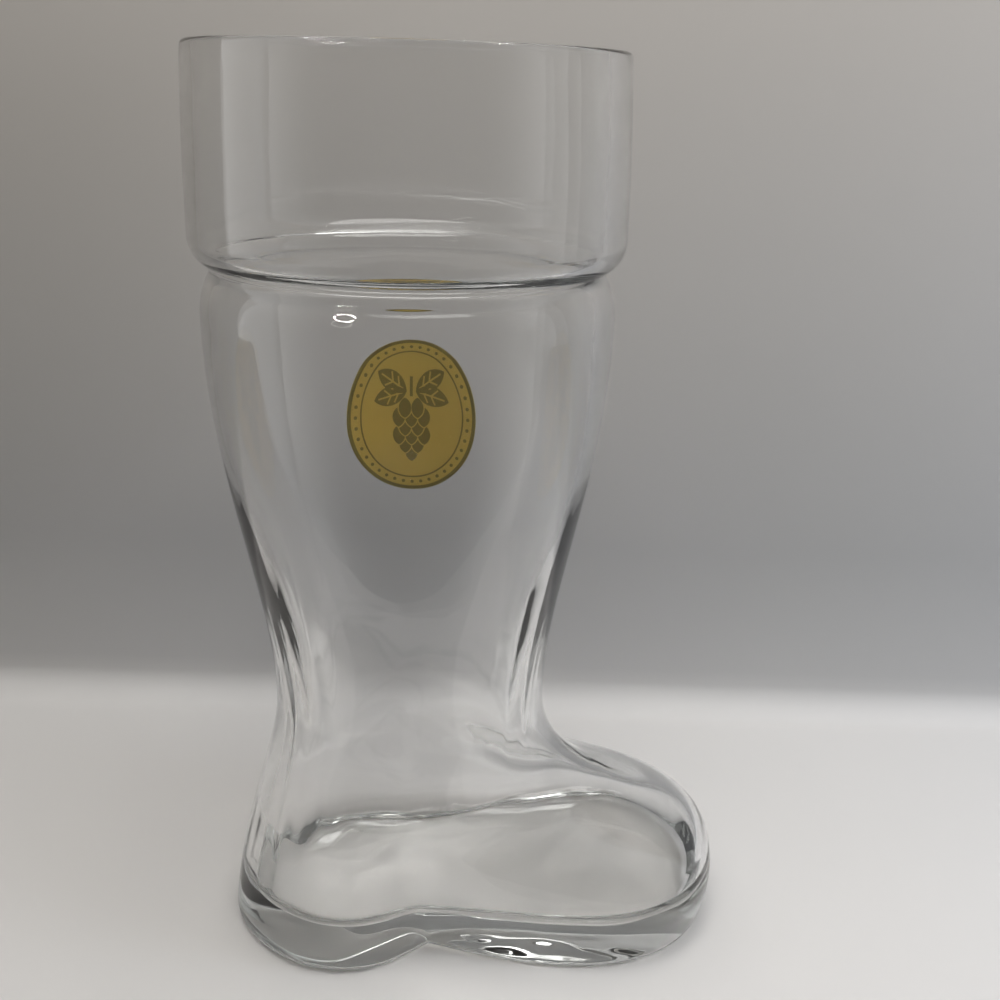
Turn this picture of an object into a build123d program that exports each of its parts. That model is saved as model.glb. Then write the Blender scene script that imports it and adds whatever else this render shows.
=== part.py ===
from build123d import *
from collections import namedtuple
import math
import os

# A beer boot of about one litre: one piece of mould-blown glass, with a badge fired on its shaft.
# The shaft's axis is Z and meets the table at the origin. The toe points along +X.
# The badge is on the +Y flank. Every size is in millimetres.

# Cuff
boot_height = 252.0
cuff_radius = 55.5
cuff_height = 52.2
cuff_corner = 7.8
rim_taper = 1.5
rim_round = 1.4

# Shaft
cuff_overhang = 1.9
ankle_radius = 39.2
ankle_height = 77.0
shaft_bulge_depth = 0.7
shoulder_rise = 14.0
shoulder_width = 7.0
neck_overlap = 1.2
groove_round = 2.5

# Foot, side view
toe_reach = 95.3
toe_height = 14.0
toe_roundness = 18.0
toe_tuck_depth = 2.6
vamp_reach = 62.0
vamp_height = 43.5
vamp_slope = 0.40
vamp_run_back = 15.0
vamp_run_front = 25.0
instep_drop = 17.0
heel_reach = 55.0
counter_drop = 19.0
counter_height = 38.0
counter_reach = 51.2

# Foot, plan view
heel_half_width = 49.0
toe_half_width = 61.0
vamp_half_width = 24.0
vamp_taper_power = 3.0
toe_swell_power = 0.8
waist_depth = 23.0
waist_place = 5.0
waist_behind = 21.0
waist_ahead = 65.0
waist_fade = 55.0
crease_power = 1.15
crease_height = 15.0
sole_round = 3.8
outer_waist_share = 0.4
outer_slim_share = 0.13

# Glass thickness
cuff_wall = 4.2
calf_wall = 3.8
shaft_wall = 3.0
shaft_wall_height = 150.0
ankle_wall = 6.2
foot_wall = 4.4
floor_thickness = 13.0
floor_round = 7.0
bore_offset = 1.0
bore_overrun = 4.0

# Badge
badge_width = 42.0
badge_height = 47.0
badge_drop = 40.5
badge_shift = 1.5
enamel_thickness = 0.12
enamel_clearance = 0.10
enamel_step = 0.02
border_line = 1.2
bead_count = 40
bead_radius = 0.55
bead_inset = 2.65
inner_line = 0.5
inner_line_inset = 4.1
scale_length = 6.0
scale_width = 4.0
scale_pitch = 4.1
scale_row_pitch = 2.7
scale_rows = (2, 3, 2, 3, 2, 1)
hop_rise = 2.5
print_gap = 0.4
leaf_length = 11.0
leaf_width = 5.6
leaf_rib = 0.5
leaf_vein_pitch = 2.4
leaf_vein_angle = 50.0
leaf_clearance = 1.5
leaf_tilts = (32.0, -14.0)
stem_width = 1.0
stem_length = 5.5

# Places and sizes that follow
rim_radius = cuff_radius - rim_taper
calf_radius = cuff_radius - cuff_overhang
cuff_base = boot_height - cuff_height
shaft_top = cuff_base + neck_overlap
calf_height = shaft_top - shoulder_rise
cuff_start = cuff_base + cuff_corner
cuff_bore = cuff_radius - cuff_wall
corner_place = cuff_radius - cuff_corner
smooth_power = 2.0
toe_steps = 9
heel_steps = 8

# One level section of the boot: its height, how far it reaches back and forward along X, the half
# widths that its heel and toe ends swell to, and the depth and form of the waist between them.
Ring = namedtuple("Ring", "height back front heel toe waist form")


def ease(t):
    """A smooth step from 0 to 1, level at both ends."""
    t = min(max(t, 0.0), 1.0)
    return t * t * (3.0 - 2.0 * t)


def blend(start, end, share):
    return start + (end - start) * share


def bezier(points, t):
    """The place on a cubic curve with four control points, and its direction there."""
    (ax, az), (bx, bz), (cx, cz), (dx, dz) = points
    s = 1.0 - t
    weights = (s**3, 3 * s * s * t, 3 * s * t * t, t**3)
    x = sum(w * p for w, p in zip(weights, (ax, bx, cx, dx)))
    z = sum(w * p for w, p in zip(weights, (az, bz, cz, dz)))
    slopes = (3 * s * s, 6 * s * t, 3 * t * t)
    run_x = sum(w * p for w, p in zip(slopes, (bx - ax, cx - bx, dx - cx)))
    run_z = sum(w * p for w, p in zip(slopes, (bz - az, cz - bz, dz - cz)))
    length = math.hypot(run_x, run_z)
    return x, z, run_x / length, run_z / length


# The front of the foot in two curves, ankle to vamp and vamp to toe, and the back in one
instep_curve = (
    (ankle_radius, ankle_height),
    (ankle_radius, ankle_height - instep_drop),
    (vamp_reach - vamp_run_back, vamp_height + vamp_run_back * vamp_slope),
    (vamp_reach, vamp_height),
)
toe_curve = (
    (vamp_reach, vamp_height),
    (vamp_reach + vamp_run_front, vamp_height - vamp_run_front * vamp_slope),
    (toe_reach, toe_height + toe_roundness),
    (toe_reach, toe_height),
)
back_curve = (
    (ankle_radius, ankle_height),
    (ankle_radius, ankle_height - counter_drop),
    (counter_reach, counter_height),
    (heel_reach, 0.0),
)


def back_reach(height):
    """How far the back of the foot stands behind the axis at a height."""
    low, high = 0.0, 1.0
    for _ in range(40):
        middle = (low + high) / 2
        if bezier(back_curve, middle)[1] > height:
            low = middle
        else:
            high = middle
    return bezier(back_curve, low)[0]


def foot_ring(curve, t, wall=0.0):
    """The section at one place down the front of the foot, moved inward by a wall thickness."""
    x, z, run_x, run_z = bezier(curve, t)
    if curve is instep_curve:
        toe = blend(ankle_radius, vamp_half_width, ease(t))
    else:
        toe = blend(vamp_half_width, toe_half_width, ease(t**toe_swell_power))
    return level_ring(z - run_x * wall, x + run_z * wall, toe - wall, wall)


def sole_ring(height, wall=0.0, round_inset=0.0):
    """A section below the toe's foremost place, where the toe tucks in towards the sole."""
    tuck = toe_tuck_depth * max(1.0 - height / toe_height, 0.0) ** 2
    inset = wall + round_inset
    return level_ring(height, toe_reach - tuck - inset, toe_half_width - inset, inset)


def level_ring(height, front, toe, inset):
    heel = blend(heel_half_width, ankle_radius, ease(height / ankle_height))
    waist = waist_depth * (1.0 - ease(height / waist_fade))
    form = blend(crease_power, smooth_power, ease(height / crease_height))
    return Ring(height, inset - back_reach(height), front, heel - inset, toe, waist, form)


def round_ring(height, radius, shift=0.0):
    return Ring(height, shift - radius, shift + radius, radius, radius, 0.0, smooth_power)


def ring_point(ring, turn):
    """A point of a section: an oval that swells at heel and toe and dips at the waist.

    The dip is deep on the instep side, -Y, and shallow on the slimmer outer side, +Y.
    """
    along = math.cos(turn)
    x = (ring.front + ring.back) / 2 + (ring.front - ring.back) / 2 * along
    spread = waist_behind if x < waist_place else waist_ahead
    dip = ring.waist * math.exp(-(abs(x - waist_place) / spread) ** ring.form)
    width = blend(ring.heel, ring.toe, ((1 + along) / 2) ** vamp_taper_power)
    if turn < math.pi:
        width = width * (1 - outer_slim_share * ring.waist / waist_depth) - dip * outer_waist_share
    else:
        width -= dip
    return Vector(x, width * math.sin(turn), ring.height)


def ring_turns(ring):
    """Angles round a section, closer together beside the waist."""
    middle = (ring.front + ring.back) / 2
    waist_turn = math.acos((waist_place - middle) / ((ring.front - ring.back) / 2))
    half = [waist_turn * crowd(k / toe_steps) for k in range(toe_steps)]
    rest = math.pi - waist_turn
    half += [math.pi - rest * crowd(1 - k / heel_steps) for k in range(heel_steps + 1)]
    return half + [2 * math.pi - turn for turn in reversed(half[1:-1])]


def crowd(share):
    """Shares from 0 to 1 that draw together towards 1."""
    return 1.8 * share - 0.8 * share * share


def loft_rings(rings):
    """A smooth solid through sections whose points are all numbered alike, so that its skin is light."""
    wires = []
    for ring in rings:
        points = [ring_point(ring, turn) for turn in ring_turns(ring)]
        numbers = [float(k) for k in range(len(points) + 1)]
        wires.append(Wire(Edge.make_spline(points, periodic=True, parameters=numbers)))
    return Solid.make_loft(wires)


def shaft_radius(height):
    """Outside of the shaft: an eased taper from ankle to calf, then a rounded shoulder to the neck."""
    if height > calf_height:
        rise = min((height - calf_height) / shoulder_rise, 1.0)
        return calf_radius - shoulder_width * (1.0 - math.sqrt(1.0 - rise * rise))
    t = (height - ankle_height) / (calf_height - ankle_height)
    return blend(ankle_radius, calf_radius, ease(t)) + shaft_bulge_depth * (4 * t * (1 - t)) ** 2


def shaft_wall_at(height):
    if height < shaft_wall_height:
        share = (height - ankle_height) / (shaft_wall_height - ankle_height)
        return blend(ankle_wall, shaft_wall, ease(share))
    share = (height - shaft_wall_height) / (calf_height - shaft_wall_height)
    return blend(shaft_wall, calf_wall, ease(share))


def bore_ring(height):
    """Inside of the shaft up to the calf, and of the cuff above its rounded floor."""
    shift = -bore_offset * ease((height - ankle_height) / (calf_height - ankle_height))
    if height <= calf_height:
        radius = shaft_radius(height) - shaft_wall_at(height)
    else:
        share = (height - cuff_start) / (boot_height - cuff_start)
        radius = cuff_bore - (cuff_radius - rim_radius) * share * share
    return round_ring(height, radius, shift)


def shoulder_point(angle, wall=0.0):
    """A place on the rounded shoulder, from the calf upwards, moved inward by a wall thickness."""
    across = shoulder_rise * math.cos(angle)
    up = shoulder_width * math.sin(angle)
    length = math.hypot(across, up)
    radius = calf_radius - shoulder_width * (1 - math.cos(angle)) - wall * across / length
    return radius, calf_height + shoulder_rise * math.sin(angle) - wall * up / length


def groove_lift():
    """The angle on the shoulder at which the rounding of the groove under the cuff leaves it."""
    low, high = 0.0, math.pi / 2
    for _ in range(40):
        lift = (low + high) / 2
        radius, height = shoulder_point(lift, -groove_round)
        if math.hypot(radius - corner_place, height - cuff_start) > cuff_corner + groove_round:
            low = lift
        else:
            high = lift
    return low


def neck_rings():
    """Inside of the neck from the cuff down, at an even wall: a corner, a ridge behind the groove, a shoulder."""
    lift = groove_lift()
    hub, hub_height = shoulder_point(lift, -groove_round)
    shoulder, shoulder_height = shoulder_point(lift)
    corner_turn = math.atan2(cuff_start - hub_height, corner_place - hub)
    shoulder_turn = 2 * math.pi + math.atan2(shoulder_height - hub_height, shoulder - hub)
    places = []
    for share in shares(4):
        turn = (corner_turn - math.pi) * share
        reach = cuff_corner - cuff_wall
        places.append((corner_place + reach * math.cos(turn), cuff_start + reach * math.sin(turn)))
    for share in shares(6):
        turn = blend(corner_turn, shoulder_turn, share)
        reach = groove_round + blend(cuff_wall, calf_wall, share)
        places.append((hub + reach * math.cos(turn), hub_height + reach * math.sin(turn)))
    places += [shoulder_point(lift * (1 - share), calf_wall) for share in shares(4)[:-1]]
    return [round_ring(z, r, -bore_offset) for r, z in places]


def shares(count):
    """Even steps that start after 0 and end at 1."""
    return [(k + 1) / count for k in range(count)]


def edge_turns(radius, floor):
    """Steps round a quarter circle at the foot of a wall: how far in, and at what height."""
    turns = [math.radians(angle) for angle in (0, 25, 50, 70, 90)]
    return [(radius * (1 - math.cos(a)), floor + radius * (1 - math.sin(a))) for a in turns]


def upper_solid():
    """Outside of shaft and foot, from inside the cuff down to the table."""
    shoulder = [calf_height + shoulder_rise * s for s in (0.96, 0.88, 0.72, 0.5, 0.25)]
    taper = [blend(calf_height, ankle_height, s) for s in (0.0, *shares(8))]
    rings = [round_ring(z, shaft_radius(z)) for z in shoulder + taper]
    rings += [foot_ring(instep_curve, t) for t in shares(5)]
    rings += [foot_ring(toe_curve, t) for t in shares(7)]
    rings.append(sole_ring((toe_height + sole_round) / 2))
    rings += [sole_ring(z, 0.0, inset) for inset, z in edge_turns(sole_round, 0.0)]
    return loft_rings(rings)


def cuff_solid():
    corner_top = (cuff_radius, cuff_start)
    foot_edge = (corner_place, cuff_base)
    half = cuff_corner * (1 - math.sqrt(0.5))
    corner_middle = (cuff_radius - half, cuff_base + half)
    outline = [
        Line((0, cuff_base), foot_edge),
        ThreePointArc(foot_edge, corner_middle, corner_top),
        TangentArc(corner_top, (rim_radius, boot_height), tangent=(0, 1)),
        Line((rim_radius, boot_height), (0, boot_height)),
        Line((0, boot_height), (0, cuff_base)),
    ]
    return revolve(Plane.XZ * make_face(outline), Axis.Z)


def cavity_solid():
    """The hollow, from above the rim to the rounded floor over the sole."""
    heights = [boot_height + bore_overrun, boot_height]
    heights += [blend(boot_height, cuff_start, s) for s in shares(4)]
    rings = [bore_ring(z) for z in heights] + neck_rings()
    rings += [bore_ring(blend(calf_height, ankle_height, s)) for s in (0.0, *shares(8))]
    rings += [foot_ring(instep_curve, t, blend(ankle_wall, foot_wall, t)) for t in shares(5)]
    floor_top = floor_thickness + floor_round
    toe_rings = [foot_ring(toe_curve, t, foot_wall) for t in shares(12)]
    rings += [ring for ring in toe_rings if ring.height > floor_top + floor_round / 4]
    rings += [sole_ring(z, foot_wall, inset) for inset, z in edge_turns(floor_round, floor_thickness)]
    return loft_rings(rings)


def glass_boot():
    outside = upper_solid() + cuff_solid()
    groove = outside.edges().filter_by(GeomType.BSPLINE).sort_by(Axis.Z)[-1]
    glass = fillet(groove, groove_round) - cavity_solid()
    rim_edges = glass.faces().sort_by(Axis.Z)[-1].edges()
    return fillet(rim_edges, rim_round)


# Badge plane: it stands on the shaft's axis and faces +Y, with the print drawn as seen from outside
badge_height_above_table = calf_height - badge_drop
badge_plane = Plane((badge_shift, 0, badge_height_above_table), x_dir=(-1, 0, 0), z_dir=(0, 1, 0))


def oval(inset):
    return Ellipse(badge_width / 2 - inset, badge_height / 2 - inset)


def petal(length, width):
    """An outline of two arcs that meet in a point at both ends, along Y."""
    top = (0, length / 2)
    bottom = (0, -length / 2)
    right = ThreePointArc(top, (width / 2, 0), bottom)
    left = ThreePointArc(bottom, (-width / 2, 0), top)
    return make_face([right, left])


def border_print():
    broad = oval(0) - oval(border_line)
    return broad + (oval(inner_line_inset) - oval(inner_line_inset + inner_line))


def bead_print():
    reach_x = badge_width / 2 - bead_inset
    reach_y = badge_height / 2 - bead_inset
    turns = [2 * math.pi * k / bead_count for k in range(bead_count)]
    spots = [Pos(reach_x * math.cos(a), reach_y * math.sin(a)) for a in turns]
    return Sketch() + [spot * Circle(bead_radius) for spot in spots]


def hop_print():
    """Rows of pointed scales, each row tucked under the one above with a clear line between."""
    scales = Sketch()
    cover = Sketch()
    for row, count in enumerate(scale_rows):
        y = hop_rise - row * scale_row_pitch
        spots = [Pos((k - (count - 1) / 2) * scale_pitch, y) for k in range(count)]
        fresh = Sketch() + [spot * petal(scale_length, scale_width) for spot in spots]
        grown = petal(scale_length + 2 * print_gap, scale_width + 2 * print_gap)
        scales += fresh - cover
        cover += [spot * grown for spot in spots]
    return scales


def leaf():
    """One leaf, base at the origin and tip along X, with a rib and veins left clear."""
    blade = Pos(leaf_length / 2, 0) * Rot(0, 0, 90) * petal(leaf_length, leaf_width)
    cuts = Sketch() + Pos(leaf_length / 2, 0) * Rectangle(leaf_length - leaf_width / 2, leaf_rib)
    veins = int((leaf_length - leaf_width) / leaf_vein_pitch)
    for k in range(veins):
        start = Pos(leaf_width / 2 + k * leaf_vein_pitch, 0)
        for side in (-1, 1):
            vein = Pos(leaf_width / 4, 0) * Rectangle(leaf_width / 2, leaf_rib)
            cuts += start * Rot(0, 0, side * leaf_vein_angle) * vein
    return blade - cuts


def leaf_print():
    """Two pairs of leaves and the stem over the cone."""
    base = hop_rise + scale_length / 2 + print_gap
    print_area = Pos(0, base + stem_length / 2) * Rectangle(stem_width, stem_length)
    for tilt in leaf_tilts:
        right = Pos(leaf_clearance, base + leaf_width / 4) * Rot(0, 0, tilt) * leaf()
        print_area += right
        print_area += mirror(right, about=Plane.YZ)
    return print_area


def enamel_layer(depth):
    """A thin ring round the shaft at the badge, as deep as one firing of enamel, over earlier ones."""
    half = badge_height / 2 + border_line
    levels = [badge_height_above_table + half * share for share in (-1.0, -0.5, 0.0, 0.5, 1.0)]
    inner = [(shaft_radius(z) + depth, z) for z in levels]
    outer = [(r + enamel_thickness, z) for r, z in reversed(inner)]
    outline = [
        ThreePointArc(*inner[:3]),
        ThreePointArc(*inner[2:]),
        Line(inner[-1], outer[0]),
        ThreePointArc(*outer[:3]),
        ThreePointArc(*outer[2:]),
        Line(outer[-1], inner[0]),
    ]
    return revolve(Plane.XZ * make_face(outline), Axis.Z)


def enamel(print_area, depth):
    """A print area as a film of even thickness on the outside of the shaft."""
    return extrude(badge_plane * print_area, calf_radius + cuff_radius) & enamel_layer(depth)


def write(shape, node):
    export_step(shape, f"parts/{node}.step")


if __name__ == "__main__":
    os.makedirs("parts", exist_ok=True)
    write(glass_boot(), "glass_boot")
    field_depth = enamel_clearance
    line_depth = field_depth + enamel_thickness + enamel_step
    write(enamel(oval(0), field_depth), "badge_field")
    write(enamel(border_print(), line_depth), "badge_border")
    write(enamel(bead_print(), line_depth), "badge_beads")
    write(enamel(hop_print(), line_depth), "badge_hop")
    write(enamel(leaf_print(), line_depth), "badge_leaves")
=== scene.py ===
import bmesh
import bpy
import math
from collections import namedtuple
from mathutils import Matrix, Vector, noise


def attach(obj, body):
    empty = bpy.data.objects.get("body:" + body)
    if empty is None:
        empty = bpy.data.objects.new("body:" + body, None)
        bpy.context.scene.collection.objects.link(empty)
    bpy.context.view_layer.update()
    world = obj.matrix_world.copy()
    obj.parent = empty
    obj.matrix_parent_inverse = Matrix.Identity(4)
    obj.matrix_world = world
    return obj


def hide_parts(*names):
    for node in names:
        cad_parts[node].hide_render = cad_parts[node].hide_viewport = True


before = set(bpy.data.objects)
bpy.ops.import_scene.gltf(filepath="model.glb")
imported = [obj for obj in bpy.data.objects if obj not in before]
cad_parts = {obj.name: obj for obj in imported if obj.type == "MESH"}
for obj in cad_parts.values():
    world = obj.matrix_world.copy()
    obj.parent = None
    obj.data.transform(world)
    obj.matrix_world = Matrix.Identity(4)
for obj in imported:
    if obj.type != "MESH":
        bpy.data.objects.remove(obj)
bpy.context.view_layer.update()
scene = bpy.context.scene
scene.view_settings.view_transform = "Standard"
# Light crosses many faces of the glass before it comes out
scene.cycles.max_bounces = 32
scene.cycles.transmission_bounces = 32
scene.cycles.glossy_bounces = 12
# The glass stays clear for the light that comes through it onto the table
scene.cycles.blur_glossy = 0.0

MM = 0.001

# Where the photograph was taken from, in millimetres and degrees, and its lens on a full-frame sensor
camera_place = (-0.158, -288.755, 243.87)
camera_yaw = 5.0
camera_pitch = 20.67
camera_roll = 1.66
camera_lens = 39.6
sensor_width = 36.0
camera_near = 10.0

# Cuff
boot_height = 252.0
rim_radius = 54.0
cuff_radius = 55.5
cuff_base = 199.8
cuff_corner = 7.8
rim_round = 1.4

# Shaft
calf_radius = 53.6
calf_height = 187.0
ankle_radius = 39.2
ankle_height = 77.0
shaft_bulge_depth = 0.7
shoulder_rise = 14.0
shoulder_width = 7.0
groove_round = 2.5

# Foot, seen from the side
toe_reach = 95.3
toe_height = 14.0
toe_roundness = 18.0
toe_tuck_depth = 2.6
vamp_reach = 62.0
vamp_height = 43.5
vamp_slope = 0.40
vamp_run_back = 15.0
vamp_run_front = 25.0
instep_drop = 17.0
heel_reach = 55.0
counter_drop = 19.0
counter_height = 38.0
counter_reach = 51.2

# Foot, seen from above
heel_half_width = 49.0
toe_half_width = 61.0
vamp_half_width = 24.0
vamp_taper_power = 3.0
toe_swell_power = 0.8
waist_depth = 23.0
waist_place = 5.0
waist_behind = 21.0
waist_ahead = 65.0
waist_fade = 55.0
crease_power = 1.15
crease_height = 15.0
smooth_power = 2.0
sole_round = 3.8
outer_waist_share = 0.4
outer_slim_share = 0.13

# Glass thickness, how far back the bore stands, and how far the inside of the neck sank
cuff_wall = 4.2
calf_wall = 3.8
shaft_wall = 3.0
shaft_wall_height = 150.0
ankle_wall = 6.2
foot_wall = 4.4
floor_thickness = 13.0
floor_round = 7.0
bore_offset = 1.0
neck_drop = 0.6
cuff_start = cuff_base + cuff_corner
cuff_bore = cuff_radius - cuff_wall
corner_centre = Vector((cuff_radius - cuff_corner, cuff_start))

# Mould waves on the inside of the glass: upright ones down the shaft, level ones low in the foot and
# round ones on its floor, how deep and long each is, and how they gather at the ankle and the seams
wave_depth = 0.60
wave_width = 3.0
wave_length = 240.0
wave_ankle_power = 2
wave_seam_power = 3
level_wave_depth = 0.25
level_wave_length = 60.0
level_wave_height = 7.0
level_wave_reach = 22.0
floor_wave_depth = 0.8
floor_wave_width = 13.0
floor_wave_slice = 40.0

# Fineness of the glass mesh: points round the toe and heel sides, how they crowd to the waist and draw in
# over the sole, how close points are welded, and rings over each stretch
toe_points = 68
heel_points = 52
waist_crowding = 0.8
sole_ends_share = 0.25
weld_distance = 0.001
sole_rings = 18
edge_rings = 12
foot_rings = 30
shaft_rings = 64
shoulder_rings = 26
cuff_rings = 22
rim_rings = 6

# Enamel: how deep each firing sits in the glass, how far it stands out of it, how finely its film is cut
# to follow the shaft, and its colours
field_depth = 0.03
field_stand = 0.10
line_depth = 0.06
line_stand = 0.16
film_edge = 1.2
film_cuts = 5
gold_colour = "#CFB356"
gold_shade = "#DABD60"
olive_colour = "#857737"
olive_shade = "#908140"

# The table and wall behind the glass, in millimetres: one bent card, and its tones at shares of its height,
# which hold painted shade low on the wall and painted warm light towards its top
table_drop = 0.3
table_front = -110.0
wall_bend = 12.0
wall_bend_step = 6
wall_place = 117.0
wall_height = 900.0
card_half_width = 1200.0
# Painted shade and light: the darkest tones sit low on the wall above the bend, and painted warm light
# makes it paler and warmer towards the top
wall_painted_light_tones = (
    (0.003, "#CFCDCB"),
    (0.02, "#B8B7B6"),
    (0.08, "#A9A8A7"),
    (0.3, "#BCB7B1"),
    (0.6, "#D6CDC4"),
)

# Soft lamps, in millimetres and watts: where each stands and what it is aimed at
roof_lamp_place = (60.0, -150.0, 760.0)
roof_lamp_aim = (40.0, 0.0, 0.0)
roof_lamp_width = 520.0
roof_lamp_power = 3.9
roof_lamp_tone = "#FFFDFA"
side_lamp_place = (420.0, -160.0, 260.0)
side_lamp_aim = (220.0, 120.0, 60.0)
side_lamp_width = 200.0
side_lamp_power = 0.62
side_lamp_tone = "#E6F0FF"

# Rings of small lamps, in millimetres: they show only as dotted gleams in the glass
roof_ring_place = (0.0, -60.0, 480.0)
roof_ring_radius = 150.0
roof_ring_count = 48
front_ring_place = (-252.0, -361.0, 418.0)
front_ring_radius = 45.0
front_ring_count = 60
lamp_bead_radius = 2.5
lamp_bead_tone = "#FFFDF8"
lamp_bead_strength = 120.0

# The room's light: dark on the camera's side, bright behind the glass, and where one turns into the other
room_tone = "#4A4947"
tent_tone = "#FAFAF9"
room_edge = -0.65
tent_edge = 0.2

Ring = namedtuple("Ring", "height back front heel toe waist form")


def linear(hex_colour):
    """An sRGB hex colour as linear red, green, blue and alpha."""
    parts = [int(hex_colour[k:k + 2], 16) / 255 for k in (1, 3, 5)]
    return [p / 12.92 if p <= 0.04045 else ((p + 0.055) / 1.055) ** 2.4 for p in parts] + [1.0]


def add_node(tree, kind, inputs=None, **settings):
    """A shader node with its settings, and with each input set to a value or linked to a socket."""
    made = tree.nodes.new(kind)
    for name, value in settings.items():
        setattr(made, name, value)
    for socket, value in (inputs or {}).items():
        if isinstance(value, bpy.types.NodeSocket):
            tree.links.new(value, made.inputs[socket])
        else:
            made.inputs[socket].default_value = value
    return made


def new_material(name):
    """An empty material, with its tree and output node."""
    material = bpy.data.materials.new(name)
    material.use_nodes = True
    material.node_tree.nodes.clear()
    return material, material.node_tree, add_node(material.node_tree, "ShaderNodeOutputMaterial")


def place_camera():
    yaw, pitch, roll = (math.radians(a) for a in (camera_yaw, camera_pitch, camera_roll))
    ahead = Vector((math.sin(yaw) * math.cos(pitch), math.cos(yaw) * math.cos(pitch), -math.sin(pitch)))
    level = Vector((math.cos(yaw), -math.sin(yaw), 0.0))
    upright = level.cross(ahead)
    across = level * math.cos(roll) + upright * math.sin(roll)
    up = upright * math.cos(roll) - level * math.sin(roll)
    camera = bpy.data.objects.new("camera", bpy.data.cameras.new("camera"))
    camera.data.sensor_width = sensor_width
    camera.data.lens = camera_lens
    camera.data.clip_start = camera_near * MM
    turned = Matrix((across, up, -ahead)).transposed().to_4x4()
    camera.matrix_world = Matrix.Translation(Vector(camera_place) * MM) @ turned
    scene.collection.objects.link(camera)
    scene.camera = camera


def ease(t):
    """A smooth step from 0 to 1, level at both ends."""
    t = min(max(t, 0.0), 1.0)
    return t * t * (3.0 - 2.0 * t)


def blend(start, end, share):
    return start + (end - start) * share


def steps(count, start=0.0, end=1.0):
    """Even steps that begin at the start and stop one short of the end."""
    return [blend(start, end, k / count) for k in range(count)]


def bezier(points, t):
    """The place on a cubic curve with four control points, and its direction there."""
    a, b, c, d = (Vector(p) for p in points)
    s = 1.0 - t
    place = a * s**3 + b * (3 * s * s * t) + c * (3 * s * t * t) + d * t**3
    run = (b - a) * (s * s) + (c - b) * (2 * s * t) + (d - c) * (t * t)
    return place, run.normalized()


instep_curve = (
    (ankle_radius, ankle_height),
    (ankle_radius, ankle_height - instep_drop),
    (vamp_reach - vamp_run_back, vamp_height + vamp_run_back * vamp_slope),
    (vamp_reach, vamp_height),
)
toe_curve = (
    (vamp_reach, vamp_height),
    (vamp_reach + vamp_run_front, vamp_height - vamp_run_front * vamp_slope),
    (toe_reach, toe_height + toe_roundness),
    (toe_reach, toe_height),
)
back_curve = (
    (ankle_radius, ankle_height),
    (ankle_radius, ankle_height - counter_drop),
    (counter_reach, counter_height),
    (heel_reach, 0.0),
)


def back_reach(height):
    """How far the back of the foot stands behind the axis at a height."""
    low, high = 0.0, 1.0
    for _ in range(30):
        middle = (low + high) / 2
        if bezier(back_curve, middle)[0].y > height:
            low = middle
        else:
            high = middle
    return bezier(back_curve, low)[0].x


def level_ring(height, front, toe, inset):
    heel = blend(heel_half_width, ankle_radius, ease(height / ankle_height))
    waist = waist_depth * (1.0 - ease(height / waist_fade))
    form = blend(crease_power, smooth_power, ease(height / crease_height))
    return Ring(height, inset - back_reach(height), front, heel - inset, toe, waist, form)


def foot_ring(curve, t, wall=0.0):
    """The section at one place down the front of the foot, moved inward by a wall thickness."""
    place, run = bezier(curve, t)
    if curve is instep_curve:
        toe = blend(ankle_radius, vamp_half_width, ease(t))
    else:
        toe = blend(vamp_half_width, toe_half_width, ease(t**toe_swell_power))
    return level_ring(place.y - run.x * wall, place.x + run.y * wall, toe - wall, wall)


def sole_ring(height, wall=0.0, round_inset=0.0):
    """A section below the toe's foremost place, where the toe tucks in towards the sole."""
    tuck = toe_tuck_depth * max(1.0 - height / toe_height, 0.0) ** 2
    inset = wall + round_inset
    return level_ring(height, toe_reach - tuck - inset, toe_half_width - inset, inset)


def round_ring(height, radius, shift=0.0):
    return Ring(height, shift - radius, shift + radius, radius, radius, 0.0, smooth_power)


def edge_ring(turn, radius, floor, wall):
    """A section on the rounded edge at the foot of a wall, from 0 on the wall to 90 on the floor."""
    angle = math.radians(turn)
    return sole_ring(floor + radius * (1 - math.sin(angle)), wall, radius * (1 - math.cos(angle)))


def shaft_radius(height):
    """Outside of the shaft: an eased taper from ankle to calf, then a rounded shoulder to the neck."""
    if height > calf_height:
        rise = min((height - calf_height) / shoulder_rise, 1.0)
        return calf_radius - shoulder_width * (1.0 - math.sqrt(1.0 - rise * rise))
    t = (height - ankle_height) / (calf_height - ankle_height)
    return blend(ankle_radius, calf_radius, ease(t)) + shaft_bulge_depth * (4 * t * (1 - t)) ** 2


def shaft_wall_at(height):
    if height < shaft_wall_height:
        share = (height - ankle_height) / (shaft_wall_height - ankle_height)
        return blend(ankle_wall, shaft_wall, ease(share))
    share = (height - shaft_wall_height) / (calf_height - shaft_wall_height)
    return blend(shaft_wall, calf_wall, ease(share))


def bore_ring(height):
    """Inside of the shaft up to the calf, and of the cuff above its rounded floor."""
    shift = -bore_offset * ease((height - ankle_height) / (calf_height - ankle_height))
    if height <= calf_height:
        radius = shaft_radius(height) - shaft_wall_at(height)
    else:
        share = (height - cuff_start) / (boot_height - cuff_start)
        radius = cuff_bore - (cuff_radius - rim_radius) * share * share
    return round_ring(height, radius, shift)


def shoulder_point(angle, wall=0.0):
    """A place on the rounded shoulder, from the calf upwards, moved inward by a wall thickness."""
    across = shoulder_rise * math.cos(angle)
    up = shoulder_width * math.sin(angle)
    length = math.hypot(across, up)
    radius = calf_radius - shoulder_width * (1 - math.cos(angle)) - wall * across / length
    return radius, calf_height + shoulder_rise * math.sin(angle) - wall * up / length


def groove_lift():
    """The angle on the shoulder at which the rounding of the groove under the cuff leaves it."""
    low, high = 0.0, math.pi / 2
    for _ in range(40):
        lift = (low + high) / 2
        out = (Vector(shoulder_point(lift, -groove_round)) - corner_centre).length
        low, high = (lift, high) if out > cuff_corner + groove_round else (low, lift)
    return low


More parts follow.
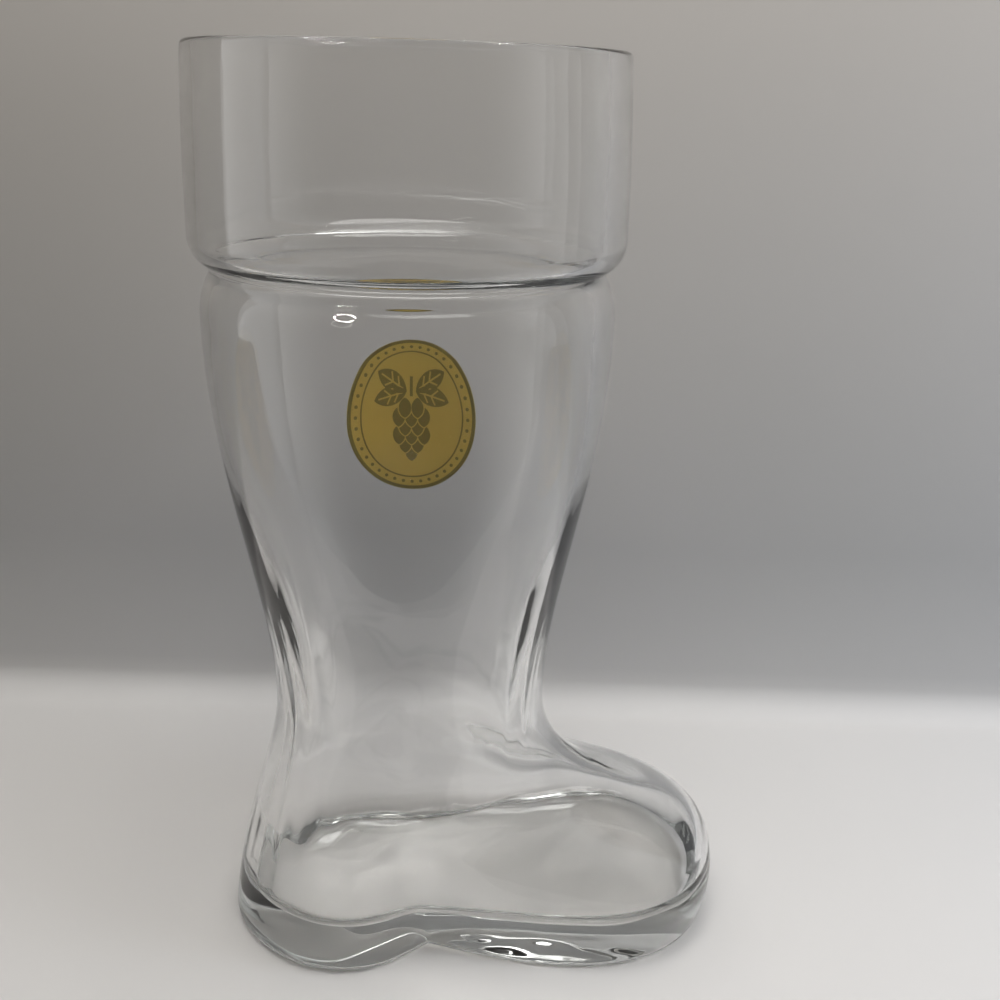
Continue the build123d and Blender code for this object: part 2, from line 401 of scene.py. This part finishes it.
def groove_turns(lift):
    """The middle of the groove's rounding, and its angles to the cuff's corner and to the shoulder."""
    hub = Vector(shoulder_point(lift, -groove_round))
    corner = corner_centre - hub
    shoulder = Vector(shoulder_point(lift)) - hub
    return hub, math.atan2(corner.y, corner.x), math.atan2(shoulder.y, shoulder.x) + 2 * math.pi


def on_circle(centre, radius, turn):
    return centre + Vector((math.cos(turn), math.sin(turn))) * radius


def neck_rings():
    """Inside of the neck, downwards, an even wall that sank a little: corner, ridge and shoulder."""
    lift = groove_lift()
    hub, corner_turn, shoulder_turn = groove_turns(lift)
    inner_corner = cuff_corner - cuff_wall
    corner_turns = steps(shoulder_rings, 0.0, corner_turn - math.pi)
    places = [on_circle(corner_centre, inner_corner, turn) for turn in corner_turns]
    for share in steps(shoulder_rings):
        reach = groove_round + blend(cuff_wall, calf_wall, share)
        places.append(on_circle(hub, reach, blend(corner_turn, shoulder_turn, share)))
    places += [shoulder_point(angle, calf_wall) for angle in steps(shoulder_rings, lift, 0.0)]
    return [round_ring(z - neck_drop, r, -bore_offset) for r, z in places]


def crowd(share):
    """Shares from 0 to 1 that draw together towards 1."""
    return (1 + waist_crowding) * share - waist_crowding * share * share


def ring_points(ring):
    """Points round a section, an oval that swells at heel and toe and dips at the waist."""
    middle = (ring.front + ring.back) / 2
    reach = (ring.front - ring.back) / 2
    waist_turn = math.acos((waist_place - middle) / reach)
    turns = [waist_turn * crowd(s) for s in steps(toe_points)]
    rest = math.pi - waist_turn
    turns += [math.pi - rest * crowd(1 - k / heel_points) for k in range(heel_points + 1)]
    turns += [2 * math.pi - turn for turn in reversed(turns[1:-1])]
    points = []
    for turn in turns:
        along = math.cos(turn)
        x = middle + reach * along
        spread = waist_behind if x < waist_place else waist_ahead
        dip = ring.waist * math.exp(-((abs(x - waist_place) / spread) ** ring.form))
        width = blend(ring.heel, ring.toe, ((1 + along) / 2) ** vamp_taper_power)
        if turn < math.pi:
            width = width * (1 - outer_slim_share * ring.waist / waist_depth) - dip * outer_waist_share
        else:
            width -= dip
        points.append(Vector((x, width * math.sin(turn), ring.height)))
    return points


def drawn_in(points, share):
    """A section drawn in towards the line along the middle of the foot."""
    middle = (points[0].x + points[toe_points + heel_points].x) / 2
    along = share * sole_ends_share
    return [Vector((blend(p.x, middle, along), p.y * (1 - share), p.z)) for p in points]


def outside_sections():
    """The outside of the glass, from the middle of the sole up to the rim."""
    outline = ring_points(edge_ring(90, sole_round, 0.0, 0.0))
    sections = [drawn_in(outline, s) for s in steps(sole_rings, 1.0, 0.0)]
    rings = [edge_ring(turn, sole_round, 0.0, 0.0) for turn in steps(edge_rings, 90.0, 0.0)]
    rings += [sole_ring(z) for z in steps(edge_rings, sole_round, toe_height)]
    rings += [foot_ring(toe_curve, t) for t in steps(foot_rings, 1.0, 0.0)]
    rings += [foot_ring(instep_curve, t) for t in steps(foot_rings, 1.0, 0.0)]
    rings += [round_ring(z, shaft_radius(z)) for z in steps(shaft_rings, ankle_height, calf_height)]
    rings += shoulder_and_cuff_rings()
    return sections + [ring_points(ring) for ring in rings]


def shoulder_and_cuff_rings():
    """Up over the shoulder, through the groove, and out round the cuff's corner to the rim."""
    lift = groove_lift()
    hub, corner_turn, shoulder_turn = groove_turns(lift)
    places = [shoulder_point(angle) for angle in steps(shoulder_rings, 0.0, lift)]
    groove_steps = steps(shoulder_rings, shoulder_turn, corner_turn)
    places += [on_circle(hub, groove_round, turn) for turn in groove_steps]
    corner_steps = steps(cuff_rings, corner_turn - math.pi, 0.0)
    places += [on_circle(corner_centre, cuff_corner, turn) for turn in corner_steps]
    rings = [round_ring(z, r) for r, z in places]
    for height in steps(cuff_rings, cuff_start, boot_height - rim_round):
        share = (height - cuff_start) / (boot_height - cuff_start)
        rings.append(round_ring(height, cuff_radius - (cuff_radius - rim_radius) * share * share))
    for turn in steps(rim_rings, 0.0, 90.0):
        angle = math.radians(turn)
        radius = rim_radius - rim_round * (1 - math.cos(angle))
        rings.append(round_ring(boot_height - rim_round * (1 - math.sin(angle)), radius))
    return rings


def inside_sections():
    """The inside of the glass, from the rim down to the middle of the floor over the sole."""
    rim_ring = bore_ring(boot_height)
    mouth = rim_ring.heel
    shift = (rim_ring.front + rim_ring.back) / 2
    rings = []
    for turn in steps(rim_rings, 90.0, 0.0):
        angle = math.radians(turn)
        radius = mouth + rim_round * (1 - math.cos(angle))
        rings.append(round_ring(boot_height - rim_round * (1 - math.sin(angle)), radius, shift))
    rings += [bore_ring(z) for z in steps(cuff_rings, boot_height - rim_round, cuff_start)]
    rings += neck_rings()
    rings += [bore_ring(z) for z in steps(shaft_rings, calf_height - neck_drop, ankle_height)]
    for t in steps(foot_rings):
        rings.append(foot_ring(instep_curve, t, blend(ankle_wall, foot_wall, t)))
    floor_top = floor_thickness + floor_round
    toe_rings = [foot_ring(toe_curve, t, foot_wall) for t in steps(foot_rings)]
    rings += [ring for ring in toe_rings if ring.height > floor_top + floor_round / 4]
    for turn in steps(edge_rings, 0.0, 90.0):
        rings.append(edge_ring(turn, floor_round, floor_thickness, foot_wall))
    outline = ring_points(edge_ring(90, floor_round, floor_thickness, foot_wall))
    floor = [drawn_in(outline, (k + 1) / sole_rings) for k in range(sole_rings)]
    return [ring_points(ring) for ring in rings] + [outline] + floor


def mould_waves(point):
    """A point of the inside, moved by the waves that blowing leaves: upright ones by the mould seams at the
    front and back, which grow from the calf down to the ankle, level ones low in the foot, and round ones
    on its floor."""
    way = Vector((point.x, point.y, 0.0)).normalized()
    around = way * (ankle_radius / wave_width)
    upright = noise.noise(Vector((around.x, around.y, point.z / wave_length)))
    level_across = Vector((point.x, point.y, 0.0)) / level_wave_length
    level = noise.noise(Vector((level_across.x, level_across.y, point.z / level_wave_height)))
    round_wave = noise.noise(Vector((point.x, point.y, floor_wave_slice)) / floor_wave_width)
    near_floor = 1.0 - ease((point.z - floor_thickness) / floor_round)
    near_ankle = ease((calf_height - point.z) / (calf_height - ankle_height)) ** wave_ankle_power
    seam = abs(way.x) ** wave_seam_power
    if point.x > 0:
        seam *= ease((point.z - vamp_height - instep_drop) / instep_drop)
    low = 1.0 - ease((point.z - floor_thickness) / level_wave_reach)
    axis = Vector((min(max(point.x, 0.0), vamp_reach), 0.0, point.z))
    outward = (point - axis).normalized()
    push = wave_depth * upright * near_ankle * seam + level_wave_depth * level * low
    lift = floor_wave_depth * round_wave * near_floor
    return point + outward * (push * (1 - near_floor)) + Vector((0.0, 0.0, lift))


def build_glass():
    """The boot's glass as one closed skin, outside and inside, in place of the plain solid."""
    sections = outside_sections()
    sections += [[mould_waves(p) for p in points] for points in inside_sections()]
    shell = bmesh.new()
    rows = [[shell.verts.new(p * MM) for p in points] for points in sections]
    around = len(rows[0])
    for lower, upper in zip(rows, rows[1:]):
        for k in range(around):
            n = (k + 1) % around
            shell.faces.new((lower[k], lower[n], upper[n], upper[k]))
    bmesh.ops.remove_doubles(shell, verts=shell.verts, dist=weld_distance * MM)
    bmesh.ops.recalc_face_normals(shell, faces=shell.faces)
    for face in shell.faces:
        face.smooth = True
    mesh = bpy.data.meshes.new("boot_glass")
    shell.to_mesh(mesh)
    shell.free()
    return add_piece("boot_glass", mesh, "glass_boot", clear_glass())


def build_enamel(node, depth, stand, material):
    """A printed film of the badge, fused into the shaft's outside and standing a little out of it."""
    film = bmesh.new()
    film.from_mesh(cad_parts[node].data)
    bmesh.ops.remove_doubles(film, verts=film.verts, dist=weld_distance * MM)
    for _ in range(film_cuts):
        long_edges = [e for e in film.edges if e.calc_length() > film_edge * MM]
        bmesh.ops.subdivide_edges(film, edges=long_edges, cuts=1)
        bmesh.ops.triangulate(film, faces=[f for f in film.faces if len(f.verts) > 3])
    proud = [math.hypot(v.co.x, v.co.y) / MM - shaft_radius(v.co.z / MM) for v in film.verts]
    middle = (min(proud) + max(proud)) / 2
    for vert, out in zip(film.verts, proud):
        radius = shaft_radius(vert.co.z / MM) + (stand if out > middle else -depth)
        flat = Vector((vert.co.x, vert.co.y, 0.0)).normalized() * (radius * MM)
        vert.co = Vector((flat.x, flat.y, vert.co.z))
    mesh = bpy.data.meshes.new("enamel_" + node)
    film.to_mesh(mesh)
    film.free()
    return add_piece("enamel_" + node, mesh, node, material)


def add_piece(name, mesh, node, material):
    piece = bpy.data.objects.new(name, mesh)
    scene.collection.objects.link(piece)
    mesh.materials.append(material)
    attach(piece, "root")
    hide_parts(node)
    return piece


def clear_glass():
    """Soda-lime glass, mould-blown and fire-polished: clear, with a grey-green cast where it is thick,
    slow waves left by the mould, and faint smears from handling."""
    smear_size = 14.0
    wave_size = 22.0
    material, tree, output = new_material("soda_lime_glass")
    place = add_node(tree, "ShaderNodeTexCoord").outputs["Object"]
    smears = add_node(
        tree, "ShaderNodeTexNoise",
        {"Vector": place, "Scale": 1 / (smear_size * MM), "Detail": 5.0},
    )
    haze = add_node(
        tree, "ShaderNodeMapRange",
        {
            "Value": smears.outputs["Fac"],
            "From Min": 0.5,
            "From Max": 0.85,
            "To Min": 0.0,
            "To Max": 0.05,
        },
    )
    waves = add_node(
        tree, "ShaderNodeTexNoise",
        {"Vector": place, "Scale": 1 / (wave_size * MM), "Detail": 1.0},
    )
    bump = add_node(
        tree, "ShaderNodeBump",
        {"Height": waves.outputs["Fac"], "Strength": 0.25, "Distance": 0.5 * MM},
    )
    glass = add_node(
        tree, "ShaderNodeBsdfPrincipled",
        {
            "Base Color": linear("#FFFFFF"),
            "Roughness": haze.outputs["Result"],
            "IOR": 1.52,
            "Transmission Weight": 1.0,
            "Normal": bump.outputs["Normal"],
        },
    )
    tint = add_node(tree, "ShaderNodeVolumeAbsorption", {"Color": linear("#C8CCCA"), "Density": 12.0})
    tree.links.new(glass.outputs["BSDF"], output.inputs["Surface"])
    tree.links.new(tint.outputs["Volume"], output.inputs["Volume"])
    return material


def enamel(name, colour, shade):
    """Screened and fired glass enamel: a flat colour, a little cloudy and grainy, with a satin skin."""
    grain_size = 0.5
    cloud_size = 6.0
    material, tree, output = new_material(name)
    place = add_node(tree, "ShaderNodeTexCoord").outputs["Object"]
    clouds = add_node(
        tree, "ShaderNodeTexNoise",
        {"Vector": place, "Scale": 1 / (cloud_size * MM), "Detail": 3.0},
    )
    grain = add_node(
        tree, "ShaderNodeTexNoise",
        {"Vector": place, "Scale": 1 / (grain_size * MM), "Detail": 2.0},
    )
    tone = add_node(
        tree, "ShaderNodeMix",
        {"Factor": clouds.outputs["Fac"], 6: linear(colour), 7: linear(shade)},
        data_type="RGBA",
    )
    sheen = add_node(
        tree, "ShaderNodeMapRange",
        {"Value": grain.outputs["Fac"], "To Min": 0.35, "To Max": 0.55},
    )
    bump = add_node(
        tree, "ShaderNodeBump",
        {"Height": grain.outputs["Fac"], "Strength": 0.3, "Distance": 0.02 * MM},
    )
    paint = add_node(
        tree, "ShaderNodeBsdfPrincipled",
        {
            "Base Color": tone.outputs[2],
            "Roughness": sheen.outputs["Result"],
            "IOR": 1.5,
            "Normal": bump.outputs["Normal"],
        },
    )
    tree.links.new(paint.outputs["BSDF"], output.inputs["Surface"])
    return material


def backdrop_paper():
    """Matt card behind and under the glass: pale on the table, with painted shade that darkens the wall low
    down and painted warm light that lightens it towards the top.

    Its back is clear, so that the glass can be looked at from behind too.
    """
    material, tree, output = new_material("backdrop_card_painted_light")
    place = add_node(tree, "ShaderNodeTexCoord").outputs["Object"]
    height = add_node(tree, "ShaderNodeSeparateXYZ", {"Vector": place}).outputs["Z"]
    climb = add_node(
        tree, "ShaderNodeMapRange",
        {"Value": height, "From Min": 0.0, "From Max": wall_height * MM},
    )
    # The ramp paints shade: darkest low on the wall above the bend, then painted warm light higher up
    tones = add_node(tree, "ShaderNodeValToRGB", {"Fac": climb.outputs["Result"]})
    ramp = tones.color_ramp
    for spot, colour in wall_painted_light_tones:
        element = ramp.elements.new(spot)
        element.color = linear(colour)
    ramp.elements.remove(ramp.elements[0])
    ramp.elements.remove(ramp.elements[-1])
    card = add_node(
        tree, "ShaderNodeBsdfPrincipled",
        {"Base Color": tones.outputs["Color"], "Roughness": 0.9, "Specular IOR Level": 0.2},
    )
    behind = add_node(tree, "ShaderNodeNewGeometry").outputs["Backfacing"]
    clear = add_node(tree, "ShaderNodeBsdfTransparent")
    sided = add_node(
        tree, "ShaderNodeMixShader",
        {"Fac": behind, 1: card.outputs["BSDF"], 2: clear.outputs["BSDF"]},
    )
    tree.links.new(sided.outputs["Shader"], output.inputs["Surface"])
    return material


def build_backdrop():
    profile = [(table_front, 0.0)]
    bend_start = wall_place - wall_bend
    for turn in range(0, 91, wall_bend_step):
        angle = math.radians(turn)
        profile.append((bend_start + wall_bend * math.sin(angle), wall_bend * (1 - math.cos(angle))))
    profile.append((wall_place, wall_height))
    mesh = bpy.data.meshes.new("backdrop")
    verts = []
    for y, z in profile:
        verts += [Vector((x, y, z - table_drop)) * MM for x in (-card_half_width, card_half_width)]
    faces = [(2 * k, 2 * k + 1, 2 * k + 3, 2 * k + 2) for k in range(len(profile) - 1)]
    mesh.from_pydata(verts, [], faces)
    for face in mesh.polygons:
        face.use_smooth = True
    mesh.materials.append(backdrop_paper())
    backdrop = bpy.data.objects.new("backdrop", mesh)
    backdrop.rotation_euler.z = -math.radians(camera_yaw)
    scene.collection.objects.link(backdrop)


def area_lamp(name, place, aim, width, power, colour, through_glass):
    """A round soft lamp that makes no gleam, and lights what is behind the glass or only the card."""
    lamp = bpy.data.lights.new(name, "AREA")
    lamp.shape = "DISK"
    lamp.size = width * MM
    lamp.energy = power
    lamp.color = linear(colour)[:3]
    holder = bpy.data.objects.new(name, lamp)
    holder.location = Vector(place) * MM
    holder.rotation_euler = (Vector(aim) - Vector(place)).to_track_quat("-Z", "Y").to_euler()
    holder.visible_glossy = False
    holder.visible_transmission = through_glass
    scene.collection.objects.link(holder)


def build_lamp_ring(name, place, radius, count):
    """A ring of lamp beads that faces the glass."""
    beads = bmesh.new()
    facing = (Vector((0.0, 0.0, cuff_base)) - Vector(place)).to_track_quat("Z", "Y")
    for k in range(count):
        turn = 2 * math.pi * k / count
        spot = Vector(place) + facing @ Vector((math.cos(turn), math.sin(turn), 0.0)) * radius
        bmesh.ops.create_icosphere(
            beads, subdivisions=2, radius=lamp_bead_radius * MM, matrix=Matrix.Translation(spot * MM)
        )
    mesh = bpy.data.meshes.new(name)
    beads.to_mesh(mesh)
    beads.free()
    material, tree, output = new_material(name + "_glow")
    glow = add_node(
        tree, "ShaderNodeEmission",
        {"Color": linear(lamp_bead_tone), "Strength": lamp_bead_strength},
    )
    tree.links.new(glow.outputs["Emission"], output.inputs["Surface"])
    mesh.materials.append(material)
    ring = bpy.data.objects.new(name, mesh)
    ring.visible_camera = False
    ring.visible_diffuse = False
    scene.collection.objects.link(ring)


def light_world():
    """Soft light from above and behind, and a darker room on the camera's side."""
    world = bpy.data.worlds.new("studio")
    scene.world = world
    world.use_nodes = True
    tree = world.node_tree
    tree.nodes.clear()
    way = add_node(tree, "ShaderNodeTexCoord").outputs["Generated"]
    parts = add_node(tree, "ShaderNodeSeparateXYZ", {"Vector": way})
    depth = add_node(
        tree, "ShaderNodeMapRange",
        {"Value": parts.outputs["Y"], "From Min": room_edge, "From Max": tent_edge},
    )
    tone = add_node(
        tree, "ShaderNodeMix",
        {"Factor": depth.outputs["Result"], 6: linear(room_tone), 7: linear(tent_tone)},
        data_type="RGBA",
    )
    sky = add_node(tree, "ShaderNodeBackground", {"Color": tone.outputs[2], "Strength": 1.0})
    output = add_node(tree, "ShaderNodeOutputWorld")
    tree.links.new(sky.outputs["Background"], output.inputs["Surface"])


place_camera()
build_glass()
gold = enamel("gold_enamel", gold_colour, gold_shade)
olive = enamel("olive_enamel", olive_colour, olive_shade)
build_enamel("badge_field", field_depth, field_stand, gold)
for node in ("badge_border", "badge_beads", "badge_hop", "badge_leaves"):
    build_enamel(node, line_depth, line_stand, olive)
build_backdrop()
area_lamp(
    "roof_lamp", roof_lamp_place, roof_lamp_aim, roof_lamp_width, roof_lamp_power, roof_lamp_tone,
    through_glass=True,
)
area_lamp(
    "side_lamp", side_lamp_place, side_lamp_aim, side_lamp_width, side_lamp_power, side_lamp_tone,
    through_glass=False,
)
build_lamp_ring("roof_ring", roof_ring_place, roof_ring_radius, roof_ring_count)
build_lamp_ring("front_ring", front_ring_place, front_ring_radius, front_ring_count)
light_world()
